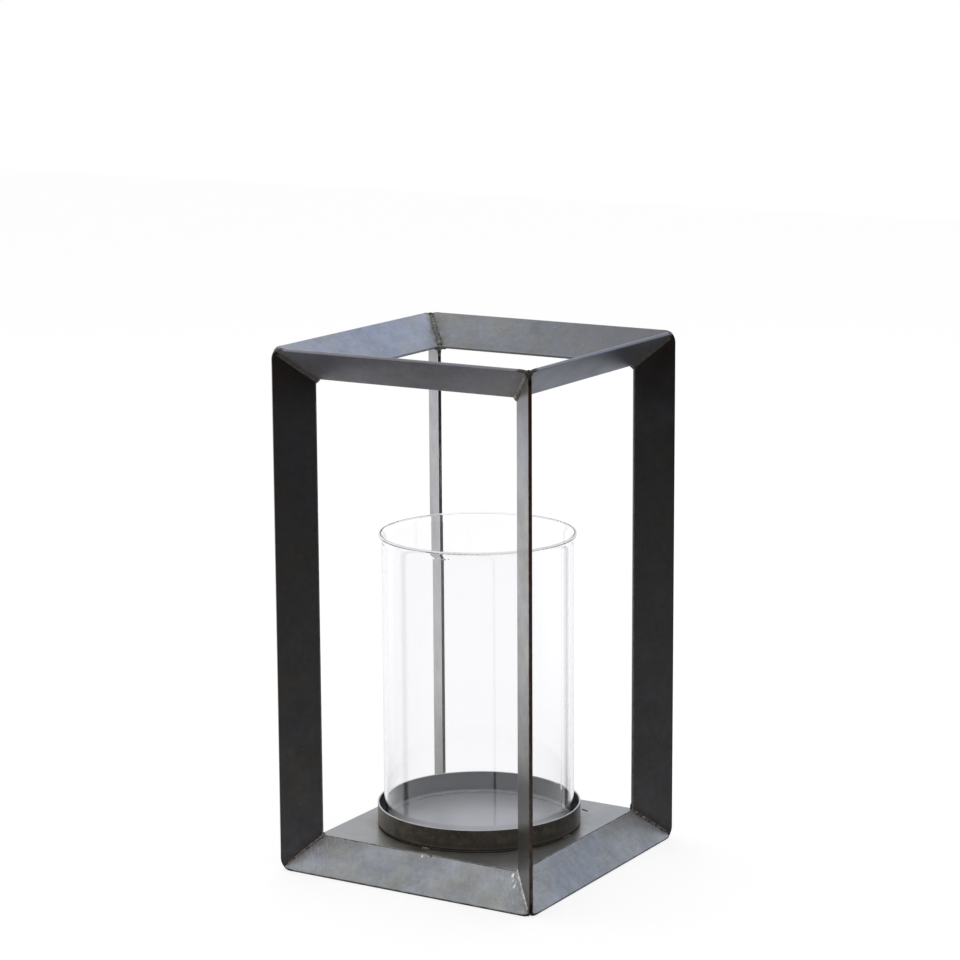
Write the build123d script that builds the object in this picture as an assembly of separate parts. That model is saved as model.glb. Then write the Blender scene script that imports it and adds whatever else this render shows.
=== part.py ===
from build123d import *
from math import asin, atan, cos, degrees, sin, sqrt
import os

# A square candle lantern in bare steel. Twelve flat bars stand on the diagonals of an open
# box frame and meet three by three in welded mitres. A base plate lies on the bottom rails,
# a round pan is tacked to the plate, and an open glass chimney stands loose in the pan.
# Millimetres, Z up. The origin is on the standing surface, in the middle of the frame.

# Flat bars of the frame
RAIL_LENGTH = 200.0  # long edge of a rail, at the middle of its thickness
POST_LENGTH = 364.0  # long edge of a post, at the middle of its thickness
BAR_WIDTH = 30.0
BAR_THICKNESS = 2.5
BAR_EDGE_EASE = 0.5  # radius along the rolled edges
CORNER_GRIND = 11.0  # radius that the outer corners of the frame are ground to
FOOT_FLAT = 1.2  # width of the strip ground flat under each bottom rail

# Corner welds
ROOT_GAP = 0.6  # left between two bars at a mitre and filled by the weld
WELD_OUTER_RADIUS = 2.0  # bead along the mitre line, at the ground corner
WELD_INNER_RADIUS = 3.0  # where it runs into the knob
WELD_KNOB_RADIUS = 3.4  # knob at the inner end of the bead
WELD_GRIND = 0.4  # depth of the bead's ground end below the bars' corners

# Base plate
PLATE_THICKNESS = 1.0
PLATE_OVERHANG = 0.5  # past the ridge of each bottom rail
PLATE_CORNER_GAP = 0.5  # between a clipped corner and the post
STITCH_LENGTH = 25.0  # fillet welds under the plate
STITCH_LEG = 2.5
STITCH_SPACING = 90.0  # between the middles of the two stitches on a side

# Candle pan
PAN_DIAMETER = 142.0
PAN_HEIGHT = 15.8
PAN_SHEET = 1.2
PAN_BEND = 2.5  # outside radius of the pressed corner
PAN_RIM_EASE = 0.4
TACK_RADIUS = 2.0  # tack welds in the groove round the pan's foot
TACK_LENGTH = 6.0  # between the round ends

# Glass chimney
GLASS_DIAMETER = 133.0
GLASS_RIM_DIAMETER = 136.5
GLASS_HEIGHT = 206.5
GLASS_WALL = 2.0
GLASS_FLARE_HEIGHT = 5.0
GLASS_EDGE_EASE = 0.5

# Places that follow from the sizes above
HALF_FRAME = RAIL_LENGTH / 2
BAR_REACH = BAR_WIDTH / sqrt(2)  # how far a bar reaches in from each box face
EDGE_STEP = BAR_THICKNESS / sqrt(8)  # half the thickness, measured square to a box face
RIDGE_DROP = BAR_EDGE_EASE * (sqrt(2) - 1)  # what the eased edge takes off a ridge
BOTTOM = EDGE_STEP - FOOT_FLAT / 2
TOP = BOTTOM + POST_LENGTH
INNER_EDGE = HALF_FRAME - BAR_REACH
RIDGE_REACH = INNER_EDGE + EDGE_STEP  # ridge of a bottom rail, from the middle
RIDGE_LEVEL = BOTTOM + BAR_REACH + EDGE_STEP - RIDGE_DROP
PLATE_TOP = RIDGE_LEVEL + PLATE_THICKNESS
PAN_FLOOR = PLATE_TOP + PAN_SHEET
GRIND_INSET = CORNER_GRIND / sqrt(2)  # centre of a ground corner, from each box face
MITRE_SETBACK = (BAR_THICKNESS / 2 + ROOT_GAP) / sqrt(3)

SIDES = {"front": (0, -1), "right": (1, 0), "back": (0, 1), "left": (-1, 0)}
CORNERS = {
    "front_left": (-1, -1),
    "front_right": (1, -1),
    "back_right": (1, 1),
    "back_left": (-1, 1),
}


def flat_bar(length):
    """A mitred bar: its long edge on the X axis, its width towards +Y, eased along its edges."""
    up_mitre = Vector(-1, sqrt(2)) / sqrt(3)
    off_mitre = Vector(-sqrt(2), -1) / sqrt(3)
    grind_centre = Vector(length / 2 - GRIND_INSET, CORNER_GRIND)
    face_point = grind_centre + off_mitre * MITRE_SETBACK
    grind_start = Vector(grind_centre.X, 0)
    grind_end = face_point - up_mitre * sqrt(CORNER_GRIND**2 - MITRE_SETBACK**2)
    inner_tip = face_point + up_mitre * ((BAR_WIDTH - face_point.Y) / up_mitre.Y)

    def other_end(point):
        return Vector(-point.X, point.Y)

    outline = [
        Line(other_end(grind_start), grind_start),
        TangentArc(grind_start, grind_end, tangent=(1, 0)),
        Line(grind_end, inner_tip),
        Line(inner_tip, other_end(inner_tip)),
        Line(other_end(inner_tip), other_end(grind_end)),
        TangentArc(other_end(grind_start), other_end(grind_end), tangent=(-1, 0)),
    ]
    bar = extrude(make_face(outline), amount=BAR_THICKNESS / 2, both=True)
    flat_faces = bar.faces().filter_by(Axis.Z)
    along_bar = flat_faces.edges().filter_by(Axis.X)
    round_corner = flat_faces.edges().filter_by(GeomType.CIRCLE)
    return fillet(along_bar + round_corner, BAR_EDGE_EASE)


def stood_on_diagonal(bar, edge_middle, along, inward):
    """Put a bar on its box edge, with its width pointing inward."""
    return Plane(edge_middle, x_dir=along, z_dir=Vector(along).cross(Vector(inward))) * bar


def weld_bead():
    """A bead widening along Z from a box corner, ground round outside, with a knob inside."""
    cap_radius = CORNER_GRIND - WELD_GRIND
    cap_centre = GRIND_INSET * sqrt(3)
    knob_centre = BAR_REACH * sqrt(3)
    cap_angle = degrees(asin(WELD_OUTER_RADIUS / cap_radius))
    knob_angle = degrees(asin(WELD_INNER_RADIUS / WELD_KNOB_RADIUS))
    cap = CenterArc((0, cap_centre), cap_radius, -90, cap_angle)
    knob = CenterArc((0, knob_centre), WELD_KNOB_RADIUS, knob_angle - 90, 180 - knob_angle)
    outline = [cap, Line(cap @ 1, knob @ 0), knob, Line(knob @ 1, cap @ 0)]
    return revolve(Plane.XZ * make_face(outline), Axis.Z)


def above_ground(solid):
    """Grind a piece flat on the standing surface."""
    return split(solid, bisect_by=Plane.XY, keep=Keep.TOP)


def round_the_sides(front_piece):
    """Repeat a piece of the front side on all four sides."""
    return [Rot(Z=90 * turn) * front_piece for turn in range(len(SIDES))]


def frame_bars():
    bars = {}
    rail = flat_bar(RAIL_LENGTH)
    post = flat_bar(POST_LENGTH)
    for side, (x, y) in SIDES.items():
        along = (-y, x, 0)
        low_edge = (x * HALF_FRAME, y * HALF_FRAME, BOTTOM)
        high_edge = (x * HALF_FRAME, y * HALF_FRAME, TOP)
        low_rail = stood_on_diagonal(rail, low_edge, along, (-x, -y, 1))
        bars[f"bottom_rail_{side}"] = above_ground(low_rail)
        bars[f"top_rail_{side}"] = stood_on_diagonal(rail, high_edge, along, (-x, -y, -1))
    for corner, (x, y) in CORNERS.items():
        edge_middle = (x * HALF_FRAME, y * HALF_FRAME, (BOTTOM + TOP) / 2)
        bars[f"post_{corner}"] = stood_on_diagonal(post, edge_middle, (0, 0, 1), (-x, -y, 0))
    return bars


def base_plate():
    """A sheet on the ridges of the bottom rails, clipped at the corners to clear the posts."""
    side = 2 * (RIDGE_REACH + PLATE_OVERHANG)
    clip = side - 2 * INNER_EDGE + PLATE_CORNER_GAP * sqrt(2)
    sheet = chamfer(Rectangle(side, side).vertices(), clip)
    return Pos(0, 0, RIDGE_LEVEL) * extrude(sheet, PLATE_THICKNESS)


def corner_welds(bars, plate):
    welds = {}
    for corner, (x, y) in CORNERS.items():
        for level, height, rise in (("bottom", BOTTOM, 1), ("top", TOP, -1)):
            tip = (x * HALF_FRAME, y * HALF_FRAME, height)
            weld = Plane(tip, z_dir=(-x, -y, rise)) * weld_bead()
            weld = weld - bars[f"post_{corner}"]
            for side in corner.split("_"):
                weld = weld - bars[f"{level}_rail_{side}"]
            if level == "bottom":
                weld = above_ground(weld - plate)
            welds[f"corner_weld_{level}_{corner}"] = weld
    return welds


def plate_stitches(front_rail):
    """Two fillet welds a side, in the wedge between the plate's underside and a rail's edge."""
    root = Vector(-RIDGE_REACH, RIDGE_LEVEL)
    under_plate = root + Vector(STITCH_LEG, 0)
    down_edge = root + Vector(STITCH_LEG, -STITCH_LEG) / sqrt(2)
    section = Plane.YZ * make_face(Polyline(root, under_plate, down_edge, close=True))
    stitch = extrude(section, STITCH_LENGTH / 2, both=True)
    pair = [Pos(X=place * STITCH_SPACING / 2) * stitch - front_rail for place in (-1, 1)]
    return Compound([piece for one in pair for piece in round_the_sides(one)])


def candle_pan():
    """A shallow pan pressed from one round sheet."""
    radius = PAN_DIAMETER / 2
    bend_centre = (radius - PAN_BEND, PAN_BEND)
    outer_bend = CenterArc(bend_centre, PAN_BEND, -90, 90)
    inner_bend = CenterArc(bend_centre, PAN_BEND - PAN_SHEET, -90, 90)
    rim_outside = (radius, PAN_HEIGHT)
    rim_inside = (radius - PAN_SHEET, PAN_HEIGHT)
    outline = [
        Line((0, 0), outer_bend @ 0),
        outer_bend,
        Line(outer_bend @ 1, rim_outside),
        Line(rim_outside, rim_inside),
        Line(rim_inside, inner_bend @ 1),
        inner_bend,
        Line(inner_bend @ 0, (0, PAN_SHEET)),
        Line((0, PAN_SHEET), (0, 0)),
    ]
    section = make_face(outline)
    section = fillet(section.vertices().group_by(Axis.Y)[-1], PAN_RIM_EASE)
    return Pos(0, 0, PLATE_TOP) * revolve(Plane.XZ * section, Axis.Z)


def pan_tacks(pan):
    """Four short beads lying in the groove round the pan's foot, one towards each rail."""
    core = Rot(Y=90) * Cylinder(TACK_RADIUS, TACK_LENGTH)
    ends = [Pos(X=end * TACK_LENGTH / 2) * Sphere(TACK_RADIUS) for end in (-1, 1)]
    bead = above_ground(core + ends)
    groove = PAN_DIAMETER / 2 - PAN_BEND * (1 - sqrt(0.5))
    outside_pan = (Pos(0, -groove, PLATE_TOP) * bead - pan).solids().sort_by(SortBy.VOLUME)[-1]
    return Compound(round_the_sides(outside_pan))


def glass_chimney():
    """An open tube with eased foot edges and a flared lip with a rounded rim."""
    middle = (GLASS_DIAMETER - GLASS_WALL) / 2
    half_wall = GLASS_WALL / 2
    lip_middle = Vector((GLASS_RIM_DIAMETER - GLASS_WALL) / 2, GLASS_HEIGHT - half_wall)
    flare_start = lip_middle.Y - GLASS_FLARE_HEIGHT
    lean = 2 * atan((lip_middle.X - middle) / GLASS_FLARE_HEIGHT)
    flare_radius = GLASS_FLARE_HEIGHT / sin(lean)
    flare_centre = (middle + flare_radius, flare_start)
    outer_flare = CenterArc(flare_centre, flare_radius - half_wall, 180, -degrees(lean))
    inner_flare = CenterArc(flare_centre, flare_radius + half_wall, 180, -degrees(lean))
    lip_tip = lip_middle + Vector(sin(lean), cos(lean)) * half_wall
    outer_foot = (middle + half_wall, 0)
    inner_foot = (middle - half_wall, 0)
    outline = [
        Line(outer_foot, outer_flare @ 0),
        outer_flare,
        ThreePointArc(outer_flare @ 1, lip_tip, inner_flare @ 1),
        inner_flare,
        Line(inner_flare @ 0, inner_foot),
        Line(inner_foot, outer_foot),
    ]
    section = make_face(outline)
    section = fillet(section.vertices().group_by(Axis.Y)[0], GLASS_EDGE_EASE)
    return Pos(0, 0, PAN_FLOOR) * revolve(Plane.XZ * section, Axis.Z)


bars = frame_bars()
plate = base_plate()
pan = candle_pan()
nodes = {
    **bars,
    **corner_welds(bars, plate),
    "base_plate": plate,
    "plate_stitch_welds": plate_stitches(bars["bottom_rail_front"]),
    "candle_pan": pan,
    "pan_tack_welds": pan_tacks(pan),
    "glass_chimney": glass_chimney(),
}

os.makedirs("parts", exist_ok=True)
for name, solid in nodes.items():
    export_step(solid, f"parts/{name}.step")
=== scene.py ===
from math import cos, pi, radians, sin, sqrt

import bmesh
import bpy
from mathutils import Matrix, Vector, noise


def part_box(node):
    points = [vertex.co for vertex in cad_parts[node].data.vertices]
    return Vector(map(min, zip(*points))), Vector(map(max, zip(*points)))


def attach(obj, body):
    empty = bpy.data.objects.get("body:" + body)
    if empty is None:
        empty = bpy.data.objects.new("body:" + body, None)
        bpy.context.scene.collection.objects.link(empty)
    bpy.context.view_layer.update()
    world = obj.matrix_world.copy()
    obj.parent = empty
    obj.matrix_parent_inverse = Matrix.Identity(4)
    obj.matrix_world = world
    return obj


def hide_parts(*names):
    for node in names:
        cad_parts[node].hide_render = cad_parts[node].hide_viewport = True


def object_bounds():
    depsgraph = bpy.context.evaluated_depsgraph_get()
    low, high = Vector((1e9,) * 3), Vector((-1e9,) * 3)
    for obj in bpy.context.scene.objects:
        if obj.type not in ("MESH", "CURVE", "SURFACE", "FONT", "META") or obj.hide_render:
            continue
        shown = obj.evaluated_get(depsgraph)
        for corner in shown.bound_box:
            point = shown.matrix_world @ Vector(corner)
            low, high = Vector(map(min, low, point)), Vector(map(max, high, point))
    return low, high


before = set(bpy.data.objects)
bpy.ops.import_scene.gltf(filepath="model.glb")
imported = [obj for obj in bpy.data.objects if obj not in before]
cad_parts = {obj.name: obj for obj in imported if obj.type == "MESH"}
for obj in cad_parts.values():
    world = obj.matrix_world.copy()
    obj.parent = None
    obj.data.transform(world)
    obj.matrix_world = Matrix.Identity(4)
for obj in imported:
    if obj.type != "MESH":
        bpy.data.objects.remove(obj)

# A candle lantern of bare hot-rolled flat bar, with a sheet base, a pressed pan and a loose
# glass tube. Everything is in metres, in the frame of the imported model: +Z is up and the
# origin is on the standing surface, in the middle of the lantern.
CAD_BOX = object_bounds()
MM = 0.001
CORNERS = {
    "front_left": (-1, -1),
    "front_right": (1, -1),
    "back_right": (1, 1),
    "back_left": (-1, 1),
}
LEVELS = {"bottom": 1, "top": -1}
AXES = {"x": 0, "y": 1, "z": 2}

# Noise mostly keeps to this range, so patterns are stretched from it
NOISE_RANGE = {"From Min": 0.3, "From Max": 0.7}

# Sizes of the frame's bars
BAR_WIDTH = 30.0 * MM
BAR_THICKNESS = 2.5 * MM
BAR_EDGE_EASE = 0.5 * MM
POST_LENGTH = 364.0 * MM
CORNER_GRIND = 11.0 * MM
BAR_REACH = BAR_WIDTH / sqrt(2)
EDGE_STEP = BAR_THICKNESS / sqrt(8) - BAR_EDGE_EASE * (sqrt(2) - 1)
HALF_FRAME = CAD_BOX[1].x - EDGE_STEP
FRAME_TOP = CAD_BOX[1].z - EDGE_STEP
FRAME_BOTTOM = FRAME_TOP - POST_LENGTH
MID_HEIGHT = (FRAME_BOTTOM + FRAME_TOP) / 2
HALF_BOX = (HALF_FRAME, HALF_FRAME, POST_LENGTH / 2)

# Each bar's axis and its scale, thick and thin. The colours differ from bar to bar, partly because the
# bars were cut from different lengths and partly as painted reflection: some bars are set lighter,
# some darker, and the top left rail bluer, for the light that each one mirrors
BARS = {
    "bottom_rail_front": ("x", "#87898B", "#999B9D"),
    "bottom_rail_right": ("y", "#8E8F91", "#A0A1A3"),
    "bottom_rail_back": ("x", "#868789", "#969799"),
    "bottom_rail_left": ("y", "#868789", "#969799"),
    "top_rail_front": ("x", "#707078", "#7C7C84"),
    "top_rail_right": ("y", "#73747F", "#80818C"),
    "top_rail_back": ("x", "#75777A", "#818386"),
    "top_rail_left": ("y", "#8D919B", "#9A9EA9"),
    "post_front_left": ("z", "#737376", "#7F7F82"),
    "post_front_right": ("z", "#8A8988", "#969594"),
    "post_back_right": ("z", "#77777A", "#838386"),
    "post_back_left": ("z", "#918F8C", "#9D9B98"),
}

# Each kind of bar: the colours of its outer edge, inner edge and inner arris, laid on in ragged
# patches, partly bare and rusty wear and partly painted light: the rails' upper edges are lighter, as
# painted highlights, the bottom rails' lower edges and the posts' inner edges darker, the posts' outer
# edges rusty brown, and the arris is a painted glint, brightest on the posts. Then how far through
# the thickness the outer edge's colour starts, how scuffed the ends are, how strongly the heat of
# welding has tinted and dulled them, and how far the flame has browned the top
BAR_KINDS = {
    "bottom": {
        "outer_edge": "#3E3935",
        "inner_edge": "#B2B1AE",
        "arris_glint": "#C4C3C0",
        "outer_colour_from": -2.0 * MM,
        "scuffs": 0.8,
        "heated": 0.5,
        "dulled": 0.25,
        "browned": 0.0,
    },
    "top": {
        "outer_edge": "#A19D97",
        "inner_edge": "#6A6866",
        "arris_glint": "#8A8886",
        "outer_colour_from": 0.3 * MM,
        "scuffs": 0.1,
        "heated": 0.75,
        "dulled": 0.48,
        "browned": 0.0,
    },
    "post": {
        "outer_edge": "#745545",
        "inner_edge": "#4A4542",
        "arris_glint": "#E2E1DE",
        "outer_colour_from": -2.0 * MM,
        "scuffs": 0.03,
        "heated": 0.75,
        "dulled": 0.02,
        "browned": 0.85,
    },
}

# Where the outer corners were ground round, the steel is scorched
SCORCH = "#2A2421"
SCORCH_SHARE = 0.92

# Darker grey near two of the top corners: the corner, how far it reaches where it is thin and where
# it is thick, and its strength
DARKENED_CORNERS = [
    ((HALF_FRAME, HALF_FRAME, FRAME_TOP), 80 * MM, 170 * MM, 0.7),
    ((HALF_FRAME, -HALF_FRAME, FRAME_TOP), 60 * MM, 130 * MM, 0.4),
]

# Sizes of the welds
BEAD_OUTER_RADIUS = 1.75 * MM
BEAD_INNER_RADIUS = 2.25 * MM
BEAD_RIPPLE = 0.07 * MM
BEAD_RIPPLE_PITCH = 1.9 * MM
BEAD_GRIND = 0.4 * MM
BEAD_STATIONS = 90
BEAD_STEPS = 24
POOL_ARM_SHARPNESS = 18
ROUGH_LUMP = 0.5 * MM

# The metal of each finish that the welds were left in: dark and light, how metallic it looks, and
# how far it is flecked
WELD_METALS = {
    "rough": {"dark": "#453D36", "light": "#6F6963", "metallic": 0.85, "flecks": 1.0},
    "heavy": {"dark": "#4B4B47", "light": "#73746F", "metallic": 0.75, "flecks": 0.5},
    "dressed": {"dark": "#65625F", "light": "#7F7C79", "metallic": 0.85, "flecks": 0.2},
    "filed": {"dark": "#4E4640", "light": "#78726C", "metallic": 0.85, "flecks": 0.5},
    # The bright finish is partly ground metal and partly a painted highlight: near white and little
    # metallic
    "bright": {"dark": "#A09F9C", "light": "#D6D6D4", "metallic": 0.4, "flecks": 1.0},
}

# The shape of each finish: the bead's swell, the pool at its inner end and how far that runs out
# along the bars, its lumps, and how often they were smoothed
WELD_SHAPES = {
    "rough": {"swell": 1.2, "pool": 2.0 * MM, "run": 4.6 * MM, "lump": ROUGH_LUMP, "smoothing": 3},
    "heavy": {"swell": 1.6, "pool": 2.6 * MM, "run": 4.0 * MM, "lump": 0.6 * MM, "smoothing": 3},
    "dressed": {"swell": 1.45, "pool": 3.2 * MM, "run": 0.8 * MM, "lump": 0.1 * MM, "smoothing": 6},
    "filed": {"swell": 1.05, "pool": 2.4 * MM, "run": 0.8 * MM, "lump": 0.3 * MM, "smoothing": 4},
    "bright": {"swell": 1.1, "pool": 2.4 * MM, "run": 2.0 * MM, "lump": 0.45 * MM, "smoothing": 3},
}

# The finish of each weld that isn't rough
FINISH_OF_WELD = {
    "top_front_left": "dressed",
    "top_front_right": "dressed",
    "top_back_right": "dressed",
    "top_back_left": "heavy",
    "bottom_front_left": "filed",
    "bottom_front_right": "bright",
}
WELD_LUMP_SIZE = 2.2 * MM
WELD_NOISE_SEED = 1
WELD_VOXEL = 0.28 * MM
TACK_COUNT = 4
TACK_SIZE = Vector((8.5, 2.4, 1.7)) * MM
TACK_RISE = 0.4 * MM

# Spatter on the upper face of the bottom front rail, in millimetres: along the rail, across
# it from the outer edge, and the length of the drop. A drop's width and height are shares of that.
# The bright drops are painted near white and hardly metallic, as painted highlights on them
HIGHLIGHT_SPATTER = [(75.6, 26.6, 3.4), (77.4, 23.0, 3.0), (79.9, 18.9, 3.4), (3.4, 28.0, 2.6)]
DARK_SPATTER = [(10.2, 29.2, 1.8), (52.0, 9.5, 0.9), (-61.5, 12.0, 0.8), (-20.3, 6.1, 0.9)]
DROP_SHAPE = (1.0, 0.5, 0.35)

# A snipped end of welding wire on the plate
WIRE_STUB = (Vector((49.2, 60.05, 0.0)) * MM, Vector((54.6, 58.3, 0.0)) * MM)
WIRE_RADIUS = 0.28 * MM

# The pan, the plate and the glass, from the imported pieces
PAN_LOW, PAN_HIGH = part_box("candle_pan")
PAN_RADIUS = PAN_HIGH.x
PAN_SHEET = 1.2 * MM
PAN_BEND = 2.5 * MM
PLATE_TOP = PAN_LOW.z
PLATE_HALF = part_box("base_plate")[1].x
FRONT_STAIN = (-4.0 * MM, -75.5 * MM, PLATE_TOP)
GLASS_LOW, GLASS_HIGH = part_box("glass_chimney")
GLASS_WALL = 2.0 * MM
GLASS_RADIUS = 66.5 * MM

# Milky bands on the glass, partly ground edge and partly painted highlight: round the lip's curl, by the
# angle up from its widest line, and at the foot, by the height
GLASS_BAND_DEPTH = 0.06 * MM
GLASS_BAND_STEPS = 192
RIM_BAND_RADIUS = 1.03 * MM
RIM_BANDS = [(radians(-38), radians(-25)), (radians(1), radians(72))]
RIM_BAND_STEP = radians(7)
FOOT_BAND_FROM = 0.1 * MM
FOOT_BAND_TO = 1.1 * MM

# The camera, from the edges of the bars, the glass and the pan in the photograph
CAMERA_PLACE = (1.0405, -1.7220, 0.6623)
CAMERA_AZIMUTH = radians(31.09)
CAMERA_TILT = radians(11.112)
CAMERA_ROLL = radians(-0.316)
CAMERA_LENS = 112.06
SENSOR_WIDTH = 36.0

# The light falls from the left and the back of the picture, and from above. It is cooler
# straight behind the lantern.
BRIGHT_SIDE = (-0.857, 0.516, 0.0)
COOL_SIDE = (0.35, 0.937, 0.0)
FLOOR_SIZE = 8.0
FLOOR_DROP = 0.05 * MM
LAMP_PLACE = Vector((-0.5, 0.3, 1.8))
LAMP_AIM = Vector((0, 0, 0.2))
LAMP_SIZE = 1.6
LAMP_POWER = 12.0


def linear(hex_colour):
    """An sRGB hex colour as linear RGBA."""
    channels = [int(hex_colour[i:i + 2], 16) / 255 for i in (1, 3, 5)]
    return [c / 12.92 if c <= 0.04045 else ((c + 0.055) / 1.055) ** 2.4 for c in channels] + [1.0]


def add_node(tree, kind, inputs=None, **settings):
    """Add a shader node: settings are its properties, inputs are values, sockets or other nodes."""
    node = tree.nodes.new("ShaderNode" + kind)
    for name, value in settings.items():
        setattr(node, name, value)
    for key, value in (inputs or {}).items():
        named = [socket for socket in node.inputs if socket.enabled and socket.name == key]
        socket = named[0] if named else node.inputs[key]
        if isinstance(value, bpy.types.Node):
            value = next(output for output in value.outputs if output.enabled)
        if isinstance(value, bpy.types.NodeSocket):
            tree.links.new(value, socket)
        else:
            socket.default_value = value
    return node


def new_material(name):
    """A material with an empty node tree."""
    material = bpy.data.materials.new(name)
    material.use_nodes = True
    material.node_tree.nodes.clear()
    return material, material.node_tree


# Bar steel


def bar_coordinates(tree, rolled_along):
    """Where a point lies on its bar.

    The frame is the same in every corner, so the two box axes that a bar leans between are
    folded about the middle. The results are a place on the bar's face (along it, across it and
    a number of its own for each face of each bar), the distance across from the outer edge, the
    distance off the nearer mitre, the distance through the thickness from its middle, and how far
    the point is on the ground corner.
    """
    place = add_node(tree, "TexCoord").outputs["Object"]
    centred = add_node(tree, "VectorMath", {0: place, 1: (0, 0, MID_HEIGHT)}, operation="SUBTRACT")
    folded = add_node(tree, "VectorMath", {0: centred}, operation="ABSOLUTE")
    depth = add_node(tree, "VectorMath", {0: HALF_BOX, 1: folded}, operation="SUBTRACT")
    depths = add_node(tree, "SeparateXYZ", {0: depth}).outputs
    raw = add_node(tree, "SeparateXYZ", {0: centred}).outputs
    first, second = [axis for axis in range(3) if axis != rolled_along]
    both = add_node(tree, "Math", {0: depths[first], 1: depths[second]}, operation="ADD")
    across = add_node(tree, "Math", {0: both, 1: sqrt(0.5)}, operation="MULTIPLY")
    lean = add_node(tree, "Math", {0: depths[first], 1: depths[second]}, operation="SUBTRACT")
    face = add_node(tree, "Math", {0: lean}, operation="SIGN")
    side = add_node(tree, "VectorMath", {0: centred}, operation="SIGN")
    weights = [0.0, 0.0, 0.0]
    weights[first] = 1.37
    weights[second] = 3.71
    bar_number = add_node(tree, "VectorMath", {0: side, 1: weights}, operation="DOT_PRODUCT")
    number = add_node(
        tree, "Math", {0: face, 1: 0.37, 2: bar_number.outputs["Value"]}, operation="MULTIPLY_ADD"
    )
    rise = add_node(tree, "Math", {0: depths[rolled_along], 1: sqrt(2)}, operation="MULTIPLY")
    gap = add_node(tree, "Math", {0: rise, 1: across}, operation="SUBTRACT")
    off_mitre = add_node(tree, "Math", {0: gap, 1: sqrt(1 / 3)}, operation="MULTIPLY")
    flat = add_node(tree, "CombineXYZ", {"X": raw[rolled_along], "Y": across, "Z": number})
    through = add_node(tree, "Math", {0: lean, 1: sqrt(0.5)}, operation="MULTIPLY")
    spot = add_node(tree, "CombineXYZ", {"X": across, "Y": depths[rolled_along]})
    grind_centre = (CORNER_GRIND, CORNER_GRIND / sqrt(2), 0)
    off_centre = add_node(
        tree, "VectorMath", {0: spot, 1: grind_centre}, operation="DISTANCE"
    ).outputs["Value"]
    at_round = add_node(
        tree,
        "MapRange",
        {
            "Value": off_centre,
            "From Min": CORNER_GRIND - 0.9 * MM,
            "From Max": CORNER_GRIND - 0.3 * MM,
        },
    )
    at_end = add_node(
        tree,
        "MapRange",
        {"Value": depths[rolled_along], "From Min": CORNER_GRIND, "From Max": CORNER_GRIND - 3 * MM},
    )
    ground = add_node(tree, "Math", {0: at_round, 1: at_end}, operation="MULTIPLY")
    return flat, across, off_mitre, through, ground


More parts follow.
